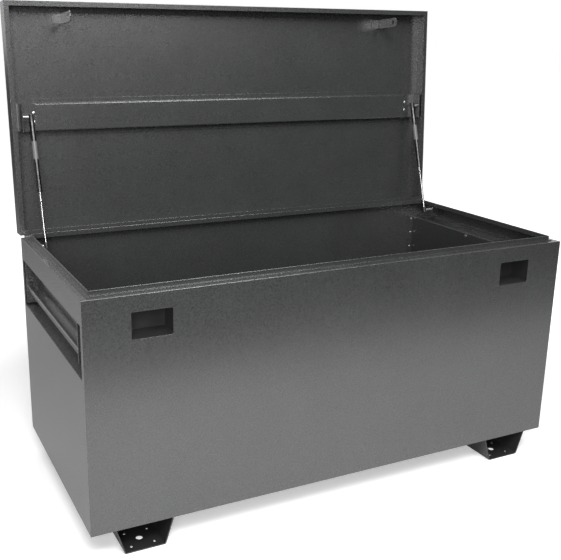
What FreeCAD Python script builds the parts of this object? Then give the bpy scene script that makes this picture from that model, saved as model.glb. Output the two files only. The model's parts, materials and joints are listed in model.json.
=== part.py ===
"""Steel storage chest with its lid held open by two gas struts.

Millimetres. X runs along the chest, Y from front to back, Z up. The origin is on the
floor under the middle of the chest. The lid and the struts are drawn as they stand open.
"""
import FreeCAD, Part
import os
import re
import Sketcher

# Driving sizes
SIZES = {
    # Chest body
    "chest_width": 1219,
    "chest_depth": 559,
    "chest_height": 510,
    "sheet": 1.5,
    "floor_upturn": 25,
    # Rim: folded panel edge and the angle frame on it
    "fold_width": 19,
    "hem_height": 12,
    "frame_inset": 14.5,
    "lip_inset": 19.5,
    "lip_height": 12,
    "frame_gauge": 2,
    "corner_gap": 1.5,
    "lip_round": 0.9,
    # Skids
    "skid_height": 60.5,
    "skid_inset": 117.5,
    "skid_top": 130,
    "skid_bottom": 91,
    "skid_gauge": 2.5,
    "skid_bend": 5,
    "anchor_inset": 44.5,
    "anchor_hole": 16,
    "caster_spacing": 52,
    "caster_hole": 6.5,
    # Lock windows and the pockets behind them
    "lock_inset": 142.5,
    "window_width": 88,
    "window_height": 57,
    "window_drop": 36,
    "window_corner": 3,
    "pocket_width": 100,
    "pocket_depth": 62,
    "pocket_top_drop": 10,
    "pocket_height": 85,
    "pocket_flange": 12,
    # Lock tabs on the lid and the fixed staples beside them
    "tab_end_inset": 144.5,
    "tab_gauge": 2.5,
    "tab_width": 25,
    "tab_front_inset": 38.5,
    "tab_drop": 50,
    "tab_base": 25,
    "padlock_hole": 12,
    "padlock_hole_drop": 32,
    "staple_gap": 1.5,
    "staple_gauge": 3,
    "slot_margin": 6.5,
    # Handle windows, recesses and lift bars in the ends
    "handle_window_front": 15.5,
    "handle_window_rear": 11.5,
    "handle_window_drop": 54,
    "handle_window_height": 115,
    "recess_depth": 32,
    "shelf_drop": 40,
    "shelf_fall": 3,
    "recess_flange": 10,
    "recess_tab": 14,
    "bar_diameter": 12.7,
    "bar_inset": 14,
    "bar_drop": 131,
    "bar_front_inset": 51.5,
    "bar_plate_gauge": 3,
    "bar_plate_inset": 3,
    "bar_plate_drop": 45,
    "end_plate_height": 120,
    "bar_bracket_height": 99,
    "bar_plate_foot": 10,
    "bolt_head": 8,
    "bolt_head_height": 4,
    "washer_diameter": 13,
    "washer_thickness": 1.2,
    "high_bolt_inset": 21,
    "high_bolt_drop": 87,
    "low_bolt_drop": 116,
    "rivet_head": 8,
    "rivet_head_height": 1.6,
    "high_rivet_drop": 50,
    "middle_rivet_drop": 92,
    "low_rivet_drop": 137,
    "wall_rivet_y": 33,
    "wall_rivet_drop": 52,
    # Lid
    "lid_depth": 44,
    "lid_bend": 2.5,
    "lid_front_setback": 2,
    "lid_lip": 12,
    "lid_open_angle": 93.5,
    "stiffener_start": 255,
    "stiffener_width": 67,
    "stiffener_height": 20,
    "stiffener_bend": 3,
    "stiffener_end_inset": 61.5,
    "stiffener_foot": 12,
    # Piano hinge
    "pin_behind": 3.5,
    "pin_above": 0.5,
    "pin_diameter": 4,
    "knuckle_wall": 1.2,
    "knuckle_length": 150,
    "knuckle_gap": 0.3,
    "pin_clearance": 0.15,
    "leaf_gauge": 1.2,
    "leaf_height": 30,
    "hinge_margin": 9.5,
    # Gas struts
    "strut_inset": 46,
    "strut_low_forward": 74,
    "strut_low_drop": 9,
    "strut_lid_reach": 291,
    "strut_lid_height": 1,
    "rod_diameter": 6,
    "tube_diameter": 12,
    "tube_wall": 1.2,
    "tube_length": 168,
    "guide_length": 6,
    "rod_length": 170,
    "piston_length": 6,
    "piston_clearance": 0.3,
    "socket_diameter": 12,
    "socket_bore": 5.2,
    "neck_length": 3,
    "stud_diameter": 4.6,
    "stud_collar": 8,
    "stud_gap": 0.3,
    # Strut brackets
    "bracket_gauge": 2,
    "bracket_inset": 23.5,
    "bracket_depth": 24,
    "bracket_base": 48,
    "bracket_drop": 2,
    "bracket_height": 27,
    "screw_head": 7,
    "screw_head_height": 2,
    "screw_spacing": 14,
    "lid_bracket_top": 6,
    "lid_rivet_spacing": 22,
}

doc = FreeCAD.newDocument("storage_chest")
sheet = doc.addObject("Spreadsheet::Sheet", "Sizes")
for row, (name, size) in enumerate(SIZES.items(), start=1):
    sheet.set("A%d" % row, name)
    sheet.set("B%d" % row, str(size))
    sheet.setAlias("B%d" % row, name)
doc.recompute()

# Levels and faces that many pieces share
HALF_W = "(chest_width / 2)"
HALF_D = "(chest_depth / 2)"
RIM = "(skid_height + chest_height)"
INNER_W = "(chest_width / 2 - sheet)"
INNER_D = "(chest_depth / 2 - sheet)"
PIN_Y = "(chest_depth / 2 + pin_behind)"
PIN_Z = "(skid_height + chest_height + pin_above)"
LID_SKIN = "(lid_depth - sheet)"
LID_FRONT = "(chest_depth + pin_behind - lid_front_setback)"
RECESS_BACK = "(chest_width / 2 - recess_depth)"
BAR_X = "(chest_width / 2 - bar_inset)"
BAR_Z = "(skid_height + chest_height - bar_drop)"
BAR_FRONT = "(bar_front_inset - chest_depth / 2)"
BAR_REAR = "(chest_depth / 2 - handle_window_rear - bar_plate_gauge)"
STRUT_Z = "(skid_height + chest_height - strut_low_drop)"
WINDOW_HIGH = "(skid_height + chest_height - handle_window_drop)"
WINDOW_LOW = "(skid_height + chest_height - handle_window_drop - handle_window_height)"

# Places measured from the ends and faces, by name
PLACES = {
    "skid_offset": "chest_width / 2 - skid_inset",
    "lock_offset": "chest_width / 2 - lock_inset",
    "tab_offset": "chest_width / 2 - tab_end_inset",
    "tab_reach": "chest_depth + pin_behind - tab_front_inset",
    "strut_plane": "chest_width / 2 - strut_inset",
    "strut_low_y": "chest_depth / 2 + pin_behind - strut_low_forward",
    "bracket_plane": "chest_width / 2 - bracket_inset",
    "bracket_high": "skid_height + chest_height - bracket_drop",
    "bracket_low": "skid_height + chest_height - bracket_drop - bracket_height",
    "bar_plate_high": "skid_height + chest_height - bar_plate_drop",
    "stiffener_end": "chest_width / 2 - stiffener_end_inset",
    "hinge_length": "chest_width - 2 * hinge_margin",
}

parts = []


def linked(text):
    """The same expression with places spelled out and each size read from the sheet."""
    def spell(word):
        name = word[0]
        if name in PLACES:
            return "(%s)" % linked(PLACES[name])
        return "Sizes." + name if name in SIZES else name
    return re.sub(r"[a-z]\w+", spell, str(text))


def measure(text):
    """The value of an expression at the sizes in the sheet."""
    result = sheet.evalExpression(linked(text))
    return float(getattr(result, "Value", result))


def bind(item, prop, text):
    item.setExpression(prop, linked(text))


def new_body(name):
    body = doc.addObject("PartDesign::Body", name)
    body.Label = name
    parts.append(body)
    return body


def new_sketch(body, plane, height):
    """A sketch on one of the body's origin planes, raised along the plane's normal."""
    sketch = body.newObject("Sketcher::SketchObject", body.Name + "_sketch")
    face = [item for item in body.Origin.OriginFeatures if item.Role == plane][0]
    sketch.AttachmentSupport = (face, [""])
    sketch.MapMode = "FlatFace"
    bind(sketch, "AttachmentOffset.Base.z", height)
    return sketch


def polygon(sketch, corners):
    """A closed outline whose corners are tied to the sheet."""
    spots = [FreeCAD.Vector(measure(u), measure(v), 0) for u, v in corners]
    count = len(spots)
    first = sketch.GeometryCount
    for index in range(count):
        sketch.addGeometry(Part.LineSegment(spots[index], spots[(index + 1) % count]))
    for index in range(count):
        after = (index + 1) % count
        sketch.addConstraint(Sketcher.Constraint("Coincident", first + index, 2, first + after, 1))
    for index, (u, v) in enumerate(corners):
        for kind, text, size in (("DistanceX", u, spots[index].x), ("DistanceY", v, spots[index].y)):
            rule = sketch.addConstraint(Sketcher.Constraint(kind, -1, 1, first + index, 1, size))
            bind(sketch, "Constraints[%d]" % rule, text)


def circle(sketch, u, v, diameter):
    """A round outline tied to the sheet."""
    centre = FreeCAD.Vector(measure(u), measure(v), 0)
    edge = sketch.addGeometry(Part.Circle(centre, FreeCAD.Vector(0, 0, 1), measure(diameter) / 2))
    for kind, text, size in (("DistanceX", u, centre.x), ("DistanceY", v, centre.y)):
        rule = sketch.addConstraint(Sketcher.Constraint(kind, -1, 1, edge, 3, size))
        bind(sketch, "Constraints[%d]" % rule, text)
    rule = sketch.addConstraint(Sketcher.Constraint("Diameter", edge, measure(diameter)))
    bind(sketch, "Constraints[%d]" % rule, diameter)


def box_corners(left, right, low, high):
    return [(left, low), (right, low), (right, high), (left, high)]


def extrude(body, plane, shapes, start, end):
    """A pad of the outlines between two levels along X, Y or Z."""
    level = "-(%s)" % end if plane == "XZ_Plane" else start
    sketch = new_sketch(body, plane, level)
    draw(sketch, shapes)
    pad = body.newObject("PartDesign::Pad", body.Name + "_pad")
    pad.Profile = sketch
    bind(pad, "Length", "(%s) - (%s)" % (end, start))
    sketch.Visibility = False
    return pad


def cut(body, plane, shapes, start, end):
    """A pocket of the outlines between two levels along X, Y or Z."""
    level = "-(%s)" % start if plane == "XZ_Plane" else end
    sketch = new_sketch(body, plane, level)
    draw(sketch, shapes)
    pocket = body.newObject("PartDesign::Pocket", body.Name + "_pocket")
    pocket.Profile = sketch
    bind(pocket, "Length", "(%s) - (%s)" % (end, start))
    sketch.Visibility = False
    return pocket


def draw(sketch, shapes):
    """Outlines: a list of corners is a polygon, a (u, v, diameter) triple is a circle."""
    for shape in shapes:
        if isinstance(shape, tuple):
            circle(sketch, *shape)
        else:
            polygon(sketch, shape)


def round_edges(body, radius, axis, spots):
    """A fillet on the straight edges along one axis that pass through the given spots."""
    doc.recompute()
    places = [(measure(u), measure(v)) for u, v in spots]
    across = [index for index in range(3) if index != axis]
    names = []
    for index, edge in enumerate(body.Tip.Shape.Edges, start=1):
        ends = [vertex.Point for vertex in edge.Vertexes]
        if len(ends) < 2 or abs(ends[0][axis] - ends[1][axis]) < 1:
            continue
        for u, v in places:
            if all(abs(end[across[0]] - u) + abs(end[across[1]] - v) < 0.01 for end in ends):
                names.append("Edge%d" % index)
    solid = body.Tip
    fillet = body.newObject("PartDesign::Fillet", body.Name + "_bend")
    fillet.Base = (solid, names)
    bind(fillet, "Radius", radius)


def span(side, inner, outer):
    """Two levels in rising order, on the left (-1) or the right (+1)."""
    if side > 0:
        return inner, outer
    return "-(%s)" % outer, "-(%s)" % inner


def mirrored(side, corners):
    return [("%d * (%s)" % (side, u), v) for u, v in corners]


def side_name(side):
    return "left" if side < 0 else "right"


def place_on_lid(item):
    """Lid pieces are drawn closed, from the hinge pin: -Y forward and Z up."""
    item.Placement = FreeCAD.Placement(FreeCAD.Vector(), FreeCAD.Rotation(FreeCAD.Vector(-1, 0, 0), 1))
    bind(item, "Placement.Base.y", PIN_Y)
    bind(item, "Placement.Base.z", PIN_Z)
    bind(item, "Placement.Rotation.Angle", "lid_open_angle")


# Chest body

def front_panel():
    body = new_body("front_panel")
    wall = [
        ("-" + HALF_D, "skid_height"),
        ("sheet - " + HALF_D, "skid_height"),
        ("sheet - " + HALF_D, RIM + " - sheet"),
        ("fold_width - " + HALF_D, RIM + " - sheet"),
        ("fold_width - " + HALF_D, RIM),
        ("-" + HALF_D, RIM),
    ]
    extrude(body, "YZ_Plane", [wall], "-" + HALF_W, HALF_W)
    windows = []
    for side in (-1, 1):
        low = RIM + " - window_drop - window_height"
        edges = box_corners("lock_offset - window_width / 2", "lock_offset + window_width / 2",
                            low, RIM + " - window_drop")
        windows.append(mirrored(side, edges))
    cut(body, "XZ_Plane", windows, "-" + HALF_D + " - sheet", "sheet * 1.5 - " + HALF_D)
    corners = [corner for window in windows for corner in window]
    round_edges(body, "window_corner", 1, corners)
    round_edges(body, "sheet", 0, [("-" + HALF_D, RIM)])


def back_panel():
    body = new_body("back_panel")
    wall = [
        (HALF_D, "skid_height"),
        (HALF_D, RIM),
        (HALF_D + " - fold_width", RIM),
        (HALF_D + " - fold_width", RIM + " - sheet"),
        (INNER_D, RIM + " - sheet"),
        (INNER_D, "skid_height"),
    ]
    extrude(body, "YZ_Plane", [wall], "-" + HALF_W, HALF_W)
    round_edges(body, "sheet", 0, [(HALF_D, RIM)])


def side_panel(side):
    body = new_body(side_name(side) + "_side_panel")
    wall = [
        (HALF_W, "skid_height"),
        (HALF_W, RIM),
        (HALF_W + " - fold_width", RIM),
        (HALF_W + " - fold_width", RIM + " - sheet"),
        (INNER_W, RIM + " - sheet"),
        (INNER_W, "skid_height"),
    ]
    fold_y = HALF_D + " - fold_width"
    extrude(body, "XZ_Plane", [mirrored(side, wall)], "-(%s)" % fold_y, fold_y)
    flat = box_corners(INNER_W, HALF_W, "skid_height", RIM + " - sheet")
    extrude(body, "XZ_Plane", [mirrored(side, flat)], "-" + INNER_D, INNER_D)
    window = box_corners("handle_window_front - " + HALF_D, HALF_D + " - handle_window_rear",
                         WINDOW_LOW, WINDOW_HIGH)
    start, end = span(side, INNER_W + " - sheet", HALF_W + " + sheet")
    cut(body, "YZ_Plane", [window], start, end)
    round_edges(body, "sheet", 1, [("%d * %s" % (side, HALF_W), RIM)])
    hem = box_corners(INNER_W + " - sheet", INNER_W, WINDOW_HIGH,
                      WINDOW_HIGH + " + hem_height")
    extrude(body, "XZ_Plane", [mirrored(side, hem)],
            "handle_window_front - " + HALF_D, HALF_D + " - handle_window_rear")


def floor_pan():
    body = new_body("floor_pan")
    base = box_corners("-" + INNER_W, INNER_W, "-" + INNER_D, INNER_D)
    extrude(body, "XY_Plane", [base], "skid_height", "skid_height + floor_upturn")
    hollow = box_corners("sheet - " + INNER_W, INNER_W + " - sheet",
                         "sheet - " + INNER_D, INNER_D + " - sheet")
    cut(body, "XY_Plane", [hollow], "skid_height + sheet", "skid_height + floor_upturn + sheet")


def rim_angle(name, plane, sign, half_size, length):
    """One side of the angle frame: a leg on the folded edge and a raised lip."""
    body = new_body(name)
    profile = [
        (half_size + " - frame_inset", RIM),
        (half_size + " - frame_inset", RIM + " + frame_gauge"),
        (half_size + " - lip_inset", RIM + " + frame_gauge"),
        (half_size + " - lip_inset", RIM + " + lip_height"),
        (half_size + " - lip_inset - frame_gauge", RIM + " + lip_height"),
        (half_size + " - lip_inset - frame_gauge", RIM),
    ]
    extrude(body, plane, [mirrored(sign, profile)], "-(%s)" % length, length)
    tops = mirrored(sign, [profile[3], profile[4]])
    round_edges(body, "lip_round", 0 if plane == "YZ_Plane" else 1, tops)


def rim_frame():
    long_run = HALF_W + " - frame_inset"
    short_run = HALF_D + " - lip_inset - frame_gauge - corner_gap"
    rim_angle("rim_front", "YZ_Plane", -1, HALF_D, long_run)
    rim_angle("rim_back", "YZ_Plane", 1, HALF_D, long_run)
    rim_angle("rim_left", "XZ_Plane", -1, HALF_W, short_run)
    rim_angle("rim_right", "XZ_Plane", 1, HALF_W, short_run)
    # The long lips stop where the short ones run past, as at a notched corner
    for name, sign in (("rim_front", -1), ("rim_back", 1)):
        body = doc.getObject(name)
        ends = []
        for side in (-1, 1):
            notch = box_corners(HALF_W + " - lip_inset", HALF_W, RIM + " + frame_gauge",
                                RIM + " + lip_height * 2")
            ends.append(mirrored(side, notch))
        inner = HALF_D + " - lip_inset - frame_gauge * 2"
        start, end = span(sign, inner, HALF_D)
        cut(body, "XZ_Plane", ends, start, end)


# Skids

def skid(side):
    body = new_body(side_name(side) + "_skid")
    lean = "((skid_top - skid_bottom) / 2)"
    slant = "(skid_gauge * sqrt(1 + (%s / skid_height) ^ 2))" % lean
    rise = "(%s * (skid_height - skid_gauge) / skid_height)" % lean
    profile = [
        ("skid_offset - skid_top / 2", "skid_height"),
        ("skid_offset - skid_bottom / 2", "0"),
        ("skid_offset + skid_bottom / 2", "0"),
        ("skid_offset + skid_top / 2", "skid_height"),
        ("skid_offset + skid_top / 2 - " + slant, "skid_height"),
        ("skid_offset + skid_top / 2 - %s - %s" % (slant, rise), "skid_gauge"),
        ("skid_offset - skid_top / 2 + %s + %s" % (slant, rise), "skid_gauge"),
        ("skid_offset - skid_top / 2 + " + slant, "skid_height"),
    ]
    extrude(body, "XZ_Plane", [mirrored(side, profile)], "-" + HALF_D, HALF_D)
    round_edges(body, "skid_bend", 1, mirrored(side, profile[1:3]))
    round_edges(body, "skid_bend - skid_gauge", 1, mirrored(side, profile[5:7]))
    holes = []
    for end in (-1, 1):
        middle = "%d * (%s - anchor_inset)" % (end, HALF_D)
        holes.append(("%d * skid_offset" % side, middle, "anchor_hole"))
        for across in (-1, 1):
            for along in (-1, 1):
                holes.append(("%d * skid_offset + %d * caster_spacing / 2" % (side, across),
                              "%s + %d * caster_spacing / 2" % (middle, along), "caster_hole"))
    cut(body, "XY_Plane", holes, "-skid_gauge", "skid_gauge * 2")


# Lock pockets and staples

def lock_pocket(side):
    body = new_body(side_name(side) + "_lock_pocket")
    centre = "%d * lock_offset" % side
    top = RIM + " - pocket_top_drop"
    front = "sheet - " + HALF_D
    outer = box_corners(centre + " - pocket_width / 2", centre + " + pocket_width / 2",
                        top + " - pocket_height", top)
    extrude(body, "XZ_Plane", [outer], front, front + " + pocket_depth")
    back = front + " + pocket_depth"
    round_edges(body, "sheet", 0, [(back, outer[0][1]), (back, outer[2][1])])
    flange = box_corners(centre + " - pocket_width / 2 - pocket_flange",
                         centre + " + pocket_width / 2 + pocket_flange",
                         top + " - pocket_height", RIM + " - sheet - knuckle_gap")
    extrude(body, "XZ_Plane", [flange], front, front + " + sheet")
    hollow = box_corners(centre + " - pocket_width / 2 + sheet", centre + " + pocket_width / 2 - sheet",
                         top + " - pocket_height + sheet", top + " - sheet")
    cut(body, "XZ_Plane", [hollow], front + " - sheet", front + " + pocket_depth - sheet")
    tab_y = PIN_Y + " - tab_reach"
    tab_x = "%d * tab_offset" % side
    slot = box_corners(tab_x + " - tab_gauge / 2 - slot_margin", tab_x + " + tab_gauge / 2 + staple_gap",
                       tab_y + " - tab_width / 2 - slot_margin", tab_y + " + tab_width / 2 + slot_margin")
    cut(body, "XY_Plane", [slot], top + " - sheet * 2", top + " + sheet")


def lock_staple(side):
    body = new_body(side_name(side) + "_lock_staple")
    face = "%d * tab_offset + tab_gauge / 2 + staple_gap" % side
    tab_y = "(%s - tab_reach)" % PIN_Y
    low = "(%s - padlock_hole_drop - padlock_hole)" % PIN_Z
    high = RIM + " - pocket_top_drop - sheet"
    rear = "2 * sheet - %s + pocket_depth - 2 * sheet" % HALF_D
    plate = [
        (tab_y + " - tab_width / 2", low + " + padlock_hole / 2"),
        (tab_y + " - tab_width / 4", low),
        (rear, low),
        (rear, high),
        (tab_y + " - tab_width / 2", high),
    ]
    hole = (tab_y, PIN_Z + " - padlock_hole_drop", "padlock_hole")
    extrude(body, "YZ_Plane", [plate, hole], face, face + " + staple_gauge")


def lock_tab(side):
    body = new_body(side_name(side) + "_lock_tab")
    middle = "-tab_reach"
    face = "%d * tab_offset - tab_gauge / 2" % side
    base = box_corners(face + " + tab_gauge - tab_base", face + " + tab_gauge",
                       middle + " - tab_width / 2", middle + " + tab_width / 2")
    extrude(body, "XY_Plane", [base], LID_SKIN + " - tab_gauge", LID_SKIN)
    plate = box_corners(middle + " - tab_width / 2", middle + " + tab_width / 2",
                        "tab_width / 2 - tab_drop", LID_SKIN + " - tab_gauge / 2")
    extrude(body, "YZ_Plane", [plate], face, face + " + tab_gauge")
    extrude(body, "YZ_Plane", [(middle, "tab_width / 2 - tab_drop", "tab_width")],
            face, face + " + tab_gauge")
    cut(body, "YZ_Plane", [(middle, "-padlock_hole_drop", "padlock_hole")],
        face + " - tab_gauge", face + " + tab_gauge * 2")
    round_edges(body, "tab_gauge * 0.9", 1, [(face + " + tab_gauge", LID_SKIN)])
    place_on_lid(body)


# Handle recesses and lift bars

def handle_recess(side):
    body = new_body(side_name(side) + "_handle_recess")
    floor = WINDOW_LOW
    shelf = "(%s - shelf_drop)" % RIM
    back = RECESS_BACK
    outside = [
        (INNER_W, floor + " - recess_flange"),
        (INNER_W + " - sheet", floor + " - recess_flange"),
        (INNER_W + " - sheet", floor + " - sheet"),
        (back + " - sheet", floor + " - sheet"),
        (back + " - sheet", shelf + " - shelf_fall"),
        (INNER_W + " - sheet", shelf),
        (INNER_W + " - sheet", shelf + " + recess_flange"),
        (INNER_W, shelf + " + recess_flange"),
    ]
    inside = [
        (INNER_W, floor),
        (back, floor),
        (back, shelf + " - shelf_fall - sheet"),
        (INNER_W, shelf + " - sheet"),
    ]
    extrude(body, "XZ_Plane", [mirrored(side, outside)], "-" + INNER_D, INNER_D)
    cut(body, "XZ_Plane", [mirrored(side, inside)], "-" + INNER_D + " - sheet", INNER_D + " + sheet")
    folds = [(back + " - sheet", floor + " - sheet"), (back + " - sheet", shelf + " - shelf_fall")]
    round_edges(body, "sheet", 1, mirrored(side, folds))
    tab = box_corners(back + " - sheet - recess_tab", back, floor, shelf + " - shelf_fall")
    for end in (-1, 1):
        start, stop = span(end, INNER_D + " - sheet", INNER_D)
        extrude(body, "XZ_Plane", [mirrored(side, tab)], start, stop)


def lift_bar(side):
    body = new_body(side_name(side) + "_lift_bar")
    extrude(body, "XZ_Plane", [("%d * %s" % (side, BAR_X), BAR_Z, "bar_diameter")], BAR_FRONT, BAR_REAR)


def bar_plates(side):
    """Front and rear plates that the lift bar is welded between, each with a foot on the recess wall."""
    outer = HALF_W + " - bar_plate_inset"
    for name, height, start, end, foot_start, foot_end in (
            ("_bar_bracket", "bar_bracket_height", BAR_FRONT + " - bar_plate_gauge", BAR_FRONT,
             BAR_FRONT + " - bar_plate_foot", BAR_FRONT),
            ("_bar_end_plate", "end_plate_height", BAR_REAR, BAR_REAR + " + bar_plate_gauge",
             BAR_REAR, BAR_REAR + " + bar_plate_foot")):
        body = new_body(side_name(side) + name)
        plate = box_corners(RECESS_BACK, outer, "bar_plate_high - " + height, "bar_plate_high")
        foot = box_corners(RECESS_BACK, RECESS_BACK + " + bar_plate_gauge",
                           "bar_plate_high - " + height, "bar_plate_high")
        extrude(body, "XZ_Plane", [mirrored(side, plate)], start, end)
        extrude(body, "XZ_Plane", [mirrored(side, foot)], foot_start, foot_end)


def head_turn(plane, way):
    """Turns a head's own Z to the way it stands out from its wall."""
    axis = FreeCAD.Vector(0, way, 0) if plane == "XZ_Plane" else FreeCAD.Vector(way, 0, 0)
    if plane == "XY_Plane":
        axis = FreeCAD.Vector(0, 0, way)
    return FreeCAD.Rotation(FreeCAD.Vector(0, 0, 1), axis)


def seat_head(head, plane, u, v, wall):
    """Ties a head's foot to its spot on a wall."""
    across = {"XZ_Plane": "xzy", "YZ_Plane": "yzx", "XY_Plane": "xyz"}[plane]
    for letter, text in zip(across, (u, v, wall)):
        bind(head, "Placement.Base." + letter, text)


def round_head(name, diameter, height):
    head = doc.addObject("Part::Cylinder", name)
    bind(head, "Radius", diameter + " / 2")
    bind(head, "Height", height)
    return head


def hex_head(name):
    """A hexagon bolt head on its washer."""
    washer = doc.addObject("Part::Cylinder", name + "_washer")
    bind(washer, "Radius", "washer_diameter / 2")
    bind(washer, "Height", "washer_thickness")
    hexagon = doc.addObject("Part::Prism", name + "_hexagon")
    hexagon.Polygon = 6
    bind(hexagon, "Circumradius", "bolt_head / sqrt(3)")
    bind(hexagon, "Height", "washer_thickness + bolt_head_height")
    bolt = doc.addObject("Part::Fuse", name)
    bolt.Base = washer
    bolt.Tool = hexagon
    return bolt


def fastener_group(name, heads):
    """Identical fastener heads: one group of separate solids in one piece."""
    group = doc.addObject("Part::Compound", name)
    group.Label = name
    group.Links = heads
    parts.append(group)
    return group


def rivet_group(name, entries, diameter="rivet_head", height="rivet_head_height"):
    """Round heads, each from its plane, its two places, its wall and the way it stands out."""
    heads = []
    for index, (plane, u, v, wall, way) in enumerate(entries):
        head = round_head("%s_%d" % (name, index), diameter, height)
        head.Placement = FreeCAD.Placement(FreeCAD.Vector(), head_turn(plane, way))
        seat_head(head, plane, u, v, wall)
        heads.append(head)
    return fastener_group(name, heads)


def bar_plate_bolts():
    bolts = []
    for side in (-1, 1):
        for x, drop in ((HALF_W + " - high_bolt_inset", "high_bolt_drop"), (BAR_X, "low_bolt_drop")):
            bolt = hex_head("bar_plate_bolt_%d" % len(bolts))
            bolt.Placement = FreeCAD.Placement(FreeCAD.Vector(), head_turn("XZ_Plane", -1))
            seat_head(bolt, "XZ_Plane", "%d * (%s)" % (side, x), RIM + " - " + drop, BAR_REAR)
            bolts.append(bolt)
    fastener_group("bar_plate_bolts", bolts)


def recess_rivets():
    entries = []
    for side in (-1, 1):
        x = "%d * (%s - sheet - recess_tab / 2)" % (side, RECESS_BACK)
        for end in (-1, 1):
            wall = "%d * (%s - sheet)" % (end, INNER_D)
            for drop in ("high_rivet_drop", "middle_rivet_drop", "low_rivet_drop"):
                entries.append(("XZ_Plane", x, "%s - %s" % (RIM, drop), wall, -end))
        wall = "%d * (%s - sheet)" % (side, RECESS_BACK)
        entries.append(("YZ_Plane", "wall_rivet_y", RIM + " - wall_rivet_drop", wall, -side))
    rivet_group("recess_rivets", entries)


def lid_bracket_rivets():
    entries = []
    for side in (-1, 1):
        for way in (-1, 1):
            x = "%d * (stiffener_end + rivet_head / 2)" % side
            y = "-stiffener_start - stiffener_width / 2 + %d * lid_rivet_spacing / 2" % way
            entries.append(("XY_Plane", x, y, LID_SKIN + " - stiffener_height", -1))
    place_on_lid(rivet_group("lid_bracket_rivets", entries))


def wall_bracket_screws():
    entries = []
    for side in (-1, 1):
        wall = "%d * (%s - bracket_gauge)" % (side, INNER_W)
        for way in (-1, 1):
            y = "strut_low_y + bracket_base / 2 - screw_head"
            z = "(bracket_low + bracket_high) / 2 + %d * screw_spacing / 2" % way
            entries.append(("YZ_Plane", y, z, wall, -side))
    rivet_group("wall_bracket_screws", entries, "screw_head", "screw_head_height")


# Lid

def lid_pan():
    body = new_body("lid_pan")
    outer = box_corners("-" + HALF_W, HALF_W, "-" + LID_FRONT, "-pin_behind")
    extrude(body, "XY_Plane", [outer], "0", "lid_depth")
    round_edges(body, "lid_bend", 0, [("-" + LID_FRONT, "lid_depth"), ("-pin_behind", "lid_depth")])
    hollow = box_corners("sheet - " + HALF_W, HALF_W + " - sheet",
                         "sheet - " + LID_FRONT, "-pin_behind - sheet")
    cut(body, "XY_Plane", [hollow], "sheet", LID_SKIN)
    mouth = box_corners("lid_lip - " + HALF_W, HALF_W + " - lid_lip",
                        "lid_lip - " + LID_FRONT, "-pin_behind - lid_lip")
    cut(body, "XY_Plane", [mouth], "-sheet", "sheet * 2")
    place_on_lid(body)


def lid_stiffener():
    body = new_body("lid_stiffener")
    near = "-stiffener_start"
    far = "-stiffener_start - stiffener_width"
    top = LID_SKIN
    low = LID_SKIN + " - stiffener_height"
    profile = [
        (near + " + stiffener_foot", top),
        (near + " + stiffener_foot", top + " - sheet"),
        (near, top + " - sheet"),
        (near, low),
        (far, low),
        (far, top + " - sheet"),
        (far + " - stiffener_foot", top + " - sheet"),
        (far + " - stiffener_foot", top),
        (far + " + sheet", top),
        (far + " + sheet", low + " + sheet"),
        (near + " - sheet", low + " + sheet"),
        (near + " - sheet", top),
    ]
    extrude(body, "YZ_Plane", [profile], "-stiffener_end", "stiffener_end")
    round_edges(body, "stiffener_bend", 0, [(near, low), (far, low)])
    place_on_lid(body)


def strut_lid_bracket(side):
    body = new_body(side_name(side) + "_strut_lid_bracket")
    middle = "-stiffener_start - stiffener_width / 2"
    profile = [
        (HALF_W + " - sheet", LID_SKIN),
        (HALF_W + " - sheet", LID_SKIN + " - bracket_gauge"),
        ("bracket_plane", LID_SKIN + " - bracket_gauge"),
        ("bracket_plane", "-lid_bracket_top"),
        ("bracket_plane - bracket_gauge", "-lid_bracket_top"),
        ("bracket_plane - bracket_gauge", LID_SKIN + " - stiffener_height"),
        ("stiffener_end", LID_SKIN + " - stiffener_height"),
        ("stiffener_end", LID_SKIN + " - stiffener_height + bracket_gauge"),
        ("bracket_plane - bracket_gauge", LID_SKIN + " - stiffener_height + bracket_gauge"),
        ("bracket_plane - bracket_gauge", LID_SKIN),
    ]
    extrude(body, "XZ_Plane", [mirrored(side, profile)],
            middle + " - stiffener_width / 2", middle + " + stiffener_width / 2")
    place_on_lid(body)


# Piano hinge

def knuckles(turn):
    """Ends of every second knuckle: turn 0 for the chest's leaf, 1 for the lid's."""
    count = int(round(measure("hinge_length / knuckle_length")))
    for index in range(turn, count, 2):
        start = "%d * hinge_length / %d - hinge_length / 2" % (index, count)
        end = "%d * hinge_length / %d - hinge_length / 2" % (index + 1, count)
        yield start, end


def hinge_leaf(name, turn, way, bore):
    """A leaf with its knuckles, drawn about the pin: way -1 hangs down, 1 stands up."""
    body = new_body(name)
    barrel = "(pin_diameter + 2 * knuckle_wall)"
    face = "-pin_behind"
    low, high = span(way, "0", "leaf_height")
    plate = box_corners(face, face + " + leaf_gauge", low, high)
    extrude(body, "YZ_Plane", [plate], "-hinge_length / 2", "hinge_length / 2")
    for start, end in knuckles(turn):
        extrude(body, "YZ_Plane", [("0", "0", barrel)],
                start + " + knuckle_gap / 2", end + " - knuckle_gap / 2")
    low, high = span(way, "-" + barrel, barrel + " / 2 + knuckle_gap")
    relief = box_corners(face + " - leaf_gauge", face + " + leaf_gauge * 2", low, high)
    for start, end in knuckles(1 - turn):
        cut(body, "YZ_Plane", [relief], start + " - knuckle_gap / 2", end + " + knuckle_gap / 2")
    cut(body, "YZ_Plane", [("0", "0", bore)], "-chest_width", "chest_width")
    return body


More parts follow.
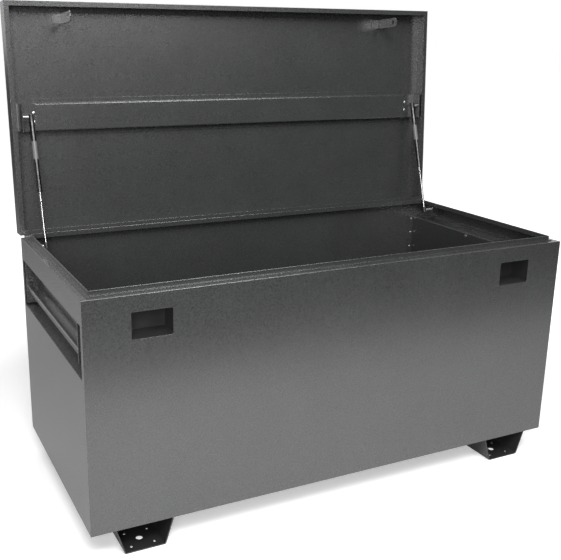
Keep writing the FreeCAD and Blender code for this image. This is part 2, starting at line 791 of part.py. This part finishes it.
def piano_hinge():
    body_leaf = hinge_leaf("hinge_body_leaf", 0, -1, "pin_diameter")
    bind(body_leaf, "Placement.Base.y", PIN_Y)
    bind(body_leaf, "Placement.Base.z", PIN_Z)
    place_on_lid(hinge_leaf("hinge_lid_leaf", 1, 1, "pin_diameter + 2 * pin_clearance"))
    pin = new_body("hinge_pin")
    extrude(pin, "YZ_Plane", [(PIN_Y, PIN_Z, "pin_diameter")], "-hinge_length / 2", "hinge_length / 2")


# Strut brackets and studs

def strut_wall_bracket(side):
    body = new_body(side_name(side) + "_strut_wall_bracket")
    low = "bracket_low"
    high = "bracket_high"
    inner = "bracket_plane - bracket_gauge"
    trough = [
        (INNER_W, low),
        (INNER_W, high),
        (INNER_W + " - bracket_gauge", high),
        (INNER_W + " - bracket_gauge", low + " + bracket_gauge"),
        ("bracket_plane", low + " + bracket_gauge"),
        ("bracket_plane", high),
        (inner, high),
        (inner, low),
    ]
    extrude(body, "XZ_Plane", [mirrored(side, trough)],
            "strut_low_y - bracket_depth / 2", "strut_low_y + bracket_depth / 2")
    base = box_corners(INNER_W + " - bracket_gauge", INNER_W, low, high)
    extrude(body, "XZ_Plane", [mirrored(side, base)],
            "strut_low_y - bracket_base / 2", "strut_low_y + bracket_base / 2")


def strut_studs(side):
    """Studs on both brackets: the lower one turns in its socket, the upper one ends at its face."""
    plate = "bracket_plane - bracket_gauge"
    outer_face = "strut_plane + socket_diameter / 2"
    low_stud = new_body(side_name(side) + "_lower_stud")
    start, end = span(side, outer_face + " + stud_gap", plate)
    extrude(low_stud, "YZ_Plane", [("strut_low_y", STRUT_Z, "stud_collar")], start, end)
    start, end = span(side, "strut_plane", plate)
    extrude(low_stud, "YZ_Plane", [("strut_low_y", STRUT_Z, "stud_diameter")], start, end)
    high_stud = new_body(side_name(side) + "_upper_stud")
    start, end = span(side, outer_face + " + stud_gap", plate)
    extrude(high_stud, "YZ_Plane", [("-strut_lid_reach", "strut_lid_height", "stud_collar")], start, end)
    place_on_lid(high_stud)


# Gas struts, drawn from the lower pivot with +Y along the strut

LID_TURN = "(lid_open_angle * 1 deg)"
RISE = "(%s + strut_lid_reach * sin(%s) + strut_lid_height * cos(%s) - %s)" % (
    PIN_Z, LID_TURN, LID_TURN, STRUT_Z)
RUN = "(%s - strut_lid_reach * cos(%s) + strut_lid_height * sin(%s) - strut_low_y)" % (
    PIN_Y, LID_TURN, LID_TURN)
STRUT_LENGTH = "sqrt(%s ^ 2 + %s ^ 2)" % (RISE, RUN)
TUBE_TOP = "(%s - socket_diameter / 2 - neck_length)" % STRUT_LENGTH


def place_on_strut(item, side):
    item.Placement = FreeCAD.Placement(FreeCAD.Vector(), FreeCAD.Rotation(FreeCAD.Vector(1, 0, 0), 1))
    bind(item, "Placement.Base.x", "%d * strut_plane" % side)
    bind(item, "Placement.Base.y", "strut_low_y")
    bind(item, "Placement.Base.z", STRUT_Z)
    bind(item, "Placement.Rotation.Angle", "atan2(%s; %s)" % (RISE, RUN))


def strut_socket(side, name, distance, way):
    """A round socket on the end of its strut, bored from the outside for the stud."""
    body = new_body(side_name(side) + name)
    near, far = span(way, "(-socket_diameter / 2)", "(socket_diameter / 2 + neck_length)")
    extrude(body, "XZ_Plane", [("0", "0", "socket_diameter")],
            "%s + %s" % (distance, near), "%s + %s" % (distance, far))
    start, end = span(side, "-stud_diameter / 2", "socket_diameter / 2 + stud_gap")
    cut(body, "YZ_Plane", [(distance, "0", "socket_bore")], start, end)
    place_on_strut(body, side)


def strut(side):
    strut_socket(side, "_strut_rod_socket", "0", 1)
    rod = new_body(side_name(side) + "_strut_rod")
    extrude(rod, "XZ_Plane", [("0", "0", "rod_diameter")], "socket_diameter / 2 + neck_length", "rod_length")
    place_on_strut(rod, side)
    piston = new_body(side_name(side) + "_strut_piston")
    bore = "(tube_diameter - 2 * tube_wall)"
    extrude(piston, "XZ_Plane", [("0", "0", bore + " - 2 * piston_clearance")],
            "rod_length", "rod_length + piston_length")
    place_on_strut(piston, side)
    tube = new_body(side_name(side) + "_strut_tube")
    low = "%s - tube_length" % TUBE_TOP
    extrude(tube, "XZ_Plane", [("0", "0", "tube_diameter")], low, TUBE_TOP)
    cut(tube, "XZ_Plane", [("0", "0", bore)], low + " - tube_wall", TUBE_TOP + " - 2 * tube_wall")
    place_on_strut(tube, side)
    guide = new_body(side_name(side) + "_strut_guide")
    extrude(guide, "XZ_Plane", [("0", "0", "tube_diameter + tube_wall"),
                                ("0", "0", "rod_diameter + 2 * piston_clearance")],
            low + " - guide_length", low)
    place_on_strut(guide, side)
    strut_socket(side, "_strut_tube_socket", STRUT_LENGTH, -1)


single = [front_panel, back_panel, floor_pan, rim_frame, bar_plate_bolts, recess_rivets,
          lid_pan, lid_stiffener, piano_hinge, lid_bracket_rivets, wall_bracket_screws]
paired = [side_panel, skid, lock_pocket, lock_staple, lock_tab, handle_recess, lift_bar, bar_plates,
          strut_lid_bracket, strut_wall_bracket, strut_studs, strut]
for make in single:
    make()
for make in paired:
    for side in (-1, 1):
        make(side)

doc.recompute()
for item in doc.Objects:
    if "Invalid" in item.State or "Error" in item.State:
        raise RuntimeError("failed: " + item.Name)
for piece in parts:
    if piece.Shape.isNull() or not piece.Shape.isValid():
        raise RuntimeError("bad shape: " + piece.Label)
    print(piece.Label, len(piece.Shape.Solids), round(piece.Shape.Volume))

os.makedirs("parts", exist_ok=True)
for piece in parts:
    piece.Shape.exportStep("parts/%s.step" % piece.Label)
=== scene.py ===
"""Looks of the steel storage chest: textured charcoal coat, chrome rods and zinc fasteners."""

import json
import math

import bmesh
import bpy
import numpy as np
from mathutils import Matrix, Vector


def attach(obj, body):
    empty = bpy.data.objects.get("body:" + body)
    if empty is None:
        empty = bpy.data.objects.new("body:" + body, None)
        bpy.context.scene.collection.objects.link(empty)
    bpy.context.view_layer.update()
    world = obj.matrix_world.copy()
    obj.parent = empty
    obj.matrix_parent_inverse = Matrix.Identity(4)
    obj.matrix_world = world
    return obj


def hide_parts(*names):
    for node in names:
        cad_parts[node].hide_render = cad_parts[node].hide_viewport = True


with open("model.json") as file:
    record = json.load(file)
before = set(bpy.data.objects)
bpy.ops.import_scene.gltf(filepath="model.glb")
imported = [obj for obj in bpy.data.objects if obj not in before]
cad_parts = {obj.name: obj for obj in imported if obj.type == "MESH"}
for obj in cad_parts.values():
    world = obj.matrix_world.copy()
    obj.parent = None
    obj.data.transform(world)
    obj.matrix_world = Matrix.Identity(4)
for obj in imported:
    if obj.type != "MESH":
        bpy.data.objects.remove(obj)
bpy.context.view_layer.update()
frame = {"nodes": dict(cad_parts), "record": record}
nodes = frame["nodes"]

# Camera, from the photograph: place in metres, angles in degrees, lengths in pixels
CAMERA_PLACE = Vector((-0.99051, -1.77652, 1.06119))
YAW = 25.809
PITCH = 15.764
ROLL = 0.667
FOCAL = 840.67
PHOTO_WIDTH = 561
PHOTO_HEIGHT = 560
PRINCIPAL = (244.29, 270.94)
SENSOR = 36.0
CLIP_END = 50

# Powder coat: noise scales per metre, lengths in metres
COAT_GRAIN = 420.0
COAT_MOTTLE = 9.0
COAT_RELIEF = 0.0004
BUMP_STRENGTH = 0.12
FOLD_RADIUS = 0.0012
BEVEL_SAMPLES = 4
PLASTIC_GRAIN = 600.0

# Turned heads and the strut's label; heads stand out towards VIEWED_FROM
TURN_STEPS = 32
DOME_STEPS = 6
VIEWED_FROM = Vector((0, -0.2, 0.5))
SAME_POINT = 1e-6
SHARP_ANGLE = 40
LABEL_SPAN = (0.44, 0.70)
LABEL_THICKNESS = 0.00025
RIVET_RIM = 0.2
SCREW_RIM = 0.35
SCREW_SOCKET = [(0.42, 0.94), (0.36, 0.4), (0, 0.4)]

# Paper floor in metres; its glow on the camera's rays grows from SHADOW_REACH to WHITE_REACH
PAPER_SIZE = 40
PAPER_AHEAD = 1.2
PAPER_GRAY = 0.86
SHADOW_REACH = 1.0
SHADOW_GLOW = 0.36
WHITE_REACH = 1.8
BACKDROP_EDGE = 0.3

# Lamps: azimuth and elevation in degrees (the front is at -90), power in watts, width in metres
LAMPS = {
    "key": (-77, 39, 34, 1.0),
    "front_left_high": (-118, 45, 62, 1.0),
    "beside_camera": (-118, 15, 42, 1.0),
    "overhead": (-50, 62, 36, 1.0),
    "behind_left": (150, 45, 10, 1.0),
    "behind": (90, 45, 22, 1.5),
}
LAMP_DISTANCE = 3.0
LAMP_TARGET = Vector((0, 0, 0.5))


def bearing(azimuth, elevation):
    """Unit vector at an azimuth and an elevation in radians."""
    level = math.cos(elevation)
    return Vector((math.cos(azimuth) * level, math.sin(azimuth) * level, math.sin(elevation)))


def photo_camera():
    """The photograph's view: a camera behind a shifted lens, turned by yaw, pitch and roll."""
    yaw = math.radians(YAW)
    pitch = math.radians(PITCH)
    roll = math.radians(ROLL)
    ahead = Vector((math.sin(yaw) * math.cos(pitch), math.cos(yaw) * math.cos(pitch),
                    -math.sin(pitch)))
    right = Vector((math.cos(yaw), -math.sin(yaw), 0))
    up = right.cross(ahead)
    across = math.cos(roll) * right + math.sin(roll) * up
    above = -math.sin(roll) * right + math.cos(roll) * up
    data = bpy.data.cameras.new("photo_camera")
    data.sensor_width = SENSOR
    data.lens = FOCAL / PHOTO_WIDTH * SENSOR
    data.shift_x = (PHOTO_WIDTH / 2 - PRINCIPAL[0]) / PHOTO_WIDTH
    data.shift_y = (PRINCIPAL[1] - PHOTO_HEIGHT / 2) / PHOTO_WIDTH
    data.clip_end = CLIP_END
    camera = bpy.data.objects.new("photo_camera", data)
    turned = Matrix((across, above, -ahead)).transposed()
    camera.matrix_world = Matrix.Translation(CAMERA_PLACE) @ turned.to_4x4()
    bpy.context.collection.objects.link(camera)
    bpy.context.scene.camera = camera


def new_material(name):
    material = bpy.data.materials.new(name)
    material.use_nodes = True
    tree = material.node_tree
    return material, tree, tree.nodes["Principled BSDF"]


def add(tree, kind, **values):
    """A shader node with its inputs set by name."""
    node = tree.nodes.new(kind)
    for name, value in values.items():
        node.inputs[name.replace("_", " ")].default_value = value
    return node


def compute(tree, operation, first, second):
    """A maths node on two values."""
    node = tree.nodes.new("ShaderNodeMath")
    node.operation = operation
    tree.links.new(first, node.inputs[0])
    tree.links.new(second, node.inputs[1])
    return node.outputs[0]


def noise(tree, scale, detail):
    coords = tree.nodes.new("ShaderNodeTexCoord")
    texture = add(tree, "ShaderNodeTexNoise", Scale=scale, Detail=detail, Roughness=0.6)
    tree.links.new(coords.outputs["Object"], texture.inputs["Vector"])
    return texture.outputs["Fac"]


def spread(tree, value, low, high):
    """Maps a noise onto a range."""
    ramp = add(tree, "ShaderNodeMapRange", From_Min=0.3, From_Max=0.7, To_Min=low, To_Max=high)
    tree.links.new(value, ramp.inputs["Value"])
    return ramp.outputs["Result"]


def tint(tree, factor, dark, light):
    """Mixes two colours by a factor."""
    mix = tree.nodes.new("ShaderNodeMix")
    mix.data_type = "RGBA"
    mix.inputs[6].default_value = (*dark, 1)
    mix.inputs[7].default_value = (*light, 1)
    tree.links.new(factor, mix.inputs[0])
    return mix.outputs[2]


def coat(name, dark, light, roughness, gloss=1.5):
    """Powder coat: a fine orange-peel grain, slight mottling and soft folded edges."""
    material, tree, shader = new_material(name)
    shader.inputs["IOR"].default_value = gloss
    shader.inputs["Specular IOR Level"].default_value = 1.0
    speck = noise(tree, COAT_GRAIN, 2.0)
    mottle = noise(tree, COAT_MOTTLE, 4.0)
    shade = compute(tree, "ADD", spread(tree, speck, 0.0, 0.7), spread(tree, mottle, 0.0, 0.3))
    tree.links.new(tint(tree, shade, dark, light), shader.inputs["Base Color"])
    tree.links.new(spread(tree, speck, roughness - 0.05, roughness + 0.07),
                   shader.inputs["Roughness"])
    bevel = add(tree, "ShaderNodeBevel", Radius=FOLD_RADIUS)
    bevel.samples = BEVEL_SAMPLES
    bump = add(tree, "ShaderNodeBump", Strength=BUMP_STRENGTH, Distance=COAT_RELIEF)
    tree.links.new(speck, bump.inputs["Height"])
    tree.links.new(bevel.outputs["Normal"], bump.inputs["Normal"])
    tree.links.new(bump.outputs["Normal"], shader.inputs["Normal"])
    return material


def metal(name, dark, light, roughness, grain):
    """Bare or plated metal with a faint brushed variation."""
    material, tree, shader = new_material(name)
    shader.inputs["Metallic"].default_value = 1
    cloud = noise(tree, grain, 3.0)
    tree.links.new(tint(tree, spread(tree, cloud, 0, 1), dark, light), shader.inputs["Base Color"])
    tree.links.new(spread(tree, cloud, roughness * 0.8, roughness * 1.3),
                   shader.inputs["Roughness"])
    return material


def plastic(name, dark, light, roughness):
    """Moulded plastic or a printed film, with a fine grain."""
    material, tree, shader = new_material(name)
    grain = noise(tree, PLASTIC_GRAIN, 2.0)
    tree.links.new(tint(tree, spread(tree, grain, 0, 1), dark, light), shader.inputs["Base Color"])
    tree.links.new(spread(tree, grain, roughness - 0.03, roughness + 0.05),
                   shader.inputs["Roughness"])
    return material


MATERIALS = {
    "charcoal_coat": coat("charcoal_coat", (0.024, 0.0245, 0.025), (0.044, 0.045, 0.046), 0.27, 1.62),
    "skid_black": coat("skid_black", (0.010, 0.010, 0.011), (0.020, 0.020, 0.021), 0.45),
    "zinc_steel": metal("zinc_steel", (0.50, 0.50, 0.49), (0.70, 0.70, 0.69), 0.32, 120.0),
    "chrome_rod": metal("chrome_rod", (0.50, 0.50, 0.50), (0.60, 0.60, 0.60), 0.2, 60.0),
    "strut_black": metal("strut_black", (0.07, 0.07, 0.07), (0.11, 0.11, 0.11), 0.30, 90.0),
    "socket_plastic": plastic("socket_plastic", (0.012, 0.012, 0.012), (0.022, 0.022, 0.022), 0.35),
}
LABEL = plastic("label_gray", (0.11, 0.11, 0.11), (0.17, 0.17, 0.17), 0.4)

# A darker coat, which is painted shade on the plates deep in the lock windows; the bolts in the
# handle recesses get it too
DARK_AND_PAINTED_SHADE_NODES = ("left_lock_staple", "right_lock_staple", "left_lock_pocket", "right_lock_pocket",
          "bar_plate_bolts")
DARK_AND_PAINTED_SHADE_COAT = coat("dark_and_painted_shade_coat", (0.012, 0.012, 0.0125), (0.022, 0.022, 0.023), 0.4)


def dress_nodes():
    """Gives every CAD node the material of its slot, except the plates in the lock windows and the
    recess bolts, which get the darker coat with painted shade.
    """
    for entry in frame["record"]["subparts"]:
        node = nodes[entry["node"]]
        # The listed nodes take the darker coat, which is painted shade in the lock windows
        material = DARK_AND_PAINTED_SHADE_COAT if entry["node"] in DARK_AND_PAINTED_SHADE_NODES else MATERIALS[entry["material_slot"]]
        if not node.material_slots:
            node.data.materials.append(material)
        for slot in node.material_slots:
            slot.material = material


def solids_of(node):
    """Points of each separate solid in a CAD group."""
    shape = bmesh.new()
    shape.from_mesh(node.data)
    bmesh.ops.remove_doubles(shape, verts=shape.verts, dist=SAME_POINT)
    waiting = set(shape.verts)
    while waiting:
        group = []
        front = [waiting.pop()]
        while front:
            vertex = front.pop()
            group.append(vertex.co.copy())
            for edge in vertex.link_edges:
                other = edge.other_vert(vertex)
                if other in waiting:
                    waiting.remove(other)
                    front.append(other)
        yield group
    shape.free()


def turned_frame(points, longest):
    """Foot, axis, height and radius of a turned solid, whose axis is its longest or shortest way."""
    cloud = np.array(points)
    centre = cloud.mean(axis=0)
    axis = np.linalg.eigh(np.cov((cloud - centre).T))[1][:, 2 if longest else 0]
    along = (cloud - centre) @ axis
    radius = np.linalg.norm(cloud - centre - np.outer(along, axis), axis=1).max()
    axis = Vector(axis)
    foot = Vector(centre) + axis * float(along.min())
    height = float(along.max() - along.min())
    if axis.dot(VIEWED_FROM - foot) < 0:
        foot += axis * height
        axis = -axis
    return foot, axis, height, float(radius)


def turn(shape, foot, axis, profile):
    """Turns a closed profile of radii and heights about an axis."""
    side = axis.orthogonal().normalized()
    up = axis.cross(side)
    angles = [2 * math.pi * step / TURN_STEPS for step in range(TURN_STEPS)]
    rings = []
    for radius, height in profile:
        level = foot + axis * height
        if radius == 0:
            rings.append([shape.verts.new(level)])
        else:
            rings.append([shape.verts.new(level + radius * (math.cos(a) * side + math.sin(a) * up))
                          for a in angles])
    for lower, upper in zip(rings, rings[1:] + rings[:1]):
        for step in range(TURN_STEPS):
            corners = [lower[step % len(lower)], lower[(step + 1) % len(lower)],
                       upper[(step + 1) % len(upper)], upper[step % len(upper)]]
            corners = [corner for index, corner in enumerate(corners)
                       if corner not in corners[:index]]
            if len(corners) > 2:
                shape.faces.new(corners)


def finish_piece(shape, name, body, material):
    """Makes a mesh of the scene's own into a piece of the part, on its body and with its material."""
    bmesh.ops.recalc_face_normals(shape, faces=shape.faces)
    mesh = bpy.data.meshes.new(name)
    shape.to_mesh(mesh)
    shape.free()
    for face in mesh.polygons:
        face.use_smooth = True
    mesh.set_sharp_from_angle(angle=math.radians(SHARP_ANGLE))
    mesh.materials.append(material)
    piece = bpy.data.objects.new(name, mesh)
    bpy.context.collection.objects.link(piece)
    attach(piece, body)
    return piece


def dome(rim):
    """A domed top over a straight rim, as parts of the head's radius and height."""
    angles = [math.pi / 2 * step / DOME_STEPS for step in range(DOME_STEPS)]
    return [(0, 0), (1, 0)] + [(math.cos(a), rim + (1 - rim) * math.sin(a)) for a in angles]


def heads(node, body, profile):
    """Fastener heads with their real form, in place of a CAD group's plain discs."""
    shape = bmesh.new()
    for points in solids_of(nodes[node]):
        foot, axis, height, radius = turned_frame(points, longest=False)
        turn(shape, foot, axis, [(radius * r, height * h) for r, h in profile])
    piece = finish_piece(shape, node + "_heads", body, MATERIALS["zinc_steel"])
    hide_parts(node)


def strut_label(side):
    """A bare wrapped label on the gas tube."""
    tube = nodes[side + "_strut_tube"]
    points = [vertex.co for vertex in tube.data.vertices]
    foot, axis, height, radius = turned_frame(points, longest=True)
    if axis.z < 0:
        foot += axis * height
        axis = -axis
    low, high = (height * part for part in LABEL_SPAN)
    outer = radius + LABEL_THICKNESS
    shape = bmesh.new()
    turn(shape, foot, axis, [(radius, low), (outer, low), (outer, high), (radius, high)])
    finish_piece(shape, side + "_strut_label", side + "_tube", LABEL)


def paper_floor():
    """White paper that ends in front of the chest, whose face mirrors the dark beyond it."""
    bpy.ops.mesh.primitive_plane_add(size=PAPER_SIZE,
                                     location=(0, PAPER_SIZE / 2 - PAPER_AHEAD, 0))
    floor = bpy.context.object
    floor.name = "paper_floor"
    material, tree, shader = new_material("paper_white")
    shader.inputs["Base Color"].default_value = (PAPER_GRAY, PAPER_GRAY, PAPER_GRAY, 1)
    shader.inputs["Roughness"].default_value = 0.9
    shader.inputs["Specular IOR Level"].default_value = 0.1
    shader.inputs["Emission Color"].default_value = (1, 1, 1, 1)
    # On the camera's rays alone, the paper whitens away from the chest and keeps its shadow near it
    place = tree.nodes.new("ShaderNodeNewGeometry")
    away = tree.nodes.new("ShaderNodeVectorMath")
    away.operation = "LENGTH"
    whiten = add(tree, "ShaderNodeMapRange", From_Min=SHADOW_REACH, From_Max=WHITE_REACH,
                 To_Min=SHADOW_GLOW, To_Max=1)
    path = tree.nodes.new("ShaderNodeLightPath")
    tree.links.new(place.outputs["Position"], away.inputs[0])
    tree.links.new(away.outputs["Value"], whiten.inputs["Value"])
    seen = compute(tree, "MULTIPLY", whiten.outputs["Result"], path.outputs["Is Camera Ray"])
    tree.links.new(seen, shader.inputs["Emission Strength"])
    floor.data.materials.append(material)


def backdrop():
    """White world behind the chest: the camera sees it, and so do mirrored rays that way."""
    world = bpy.data.worlds.new("studio")
    bpy.context.scene.world = world
    world.use_nodes = True
    tree = world.node_tree
    background = tree.nodes["Background"]
    background.inputs["Color"].default_value = (1, 1, 1, 1)
    coords = tree.nodes.new("ShaderNodeTexCoord")
    ways = tree.nodes.new("ShaderNodeSeparateXYZ")
    behind = add(tree, "ShaderNodeMapRange", From_Min=0, From_Max=BACKDROP_EDGE)
    path = tree.nodes.new("ShaderNodeLightPath")
    tree.links.new(coords.outputs["Generated"], ways.inputs["Vector"])
    tree.links.new(ways.outputs["Y"], behind.inputs["Value"])
    mirrored = compute(tree, "MULTIPLY", behind.outputs["Result"], path.outputs["Is Glossy Ray"])
    seen = compute(tree, "MAXIMUM", mirrored, path.outputs["Is Camera Ray"])
    tree.links.new(seen, background.inputs["Strength"])


def lamp(name, out, power, width):
    """A square soft light on a sphere about the chest's middle, facing it."""
    data = bpy.data.lights.new(name, "AREA")
    data.size = width
    data.energy = power
    light = bpy.data.objects.new(name, data)
    light.location = LAMP_TARGET + LAMP_DISTANCE * out
    light.rotation_euler = (-out).to_track_quat("-Z", "Y").to_euler()
    bpy.context.collection.objects.link(light)


photo_camera()
dress_nodes()
heads("recess_rivets", "chest", dome(RIVET_RIM) + [(0, 1)])
heads("lid_bracket_rivets", "lid", dome(RIVET_RIM) + [(0, 1)])
heads("wall_bracket_screws", "chest", dome(SCREW_RIM)[:-1] + SCREW_SOCKET)
for side in ("left", "right"):
    strut_label(side)
paper_floor()
backdrop()
for name, (azimuth, elevation, power, width) in LAMPS.items():
    lamp(name, bearing(math.radians(azimuth), math.radians(elevation)), power, width)
bpy.context.scene.view_settings.view_transform = "Standard"
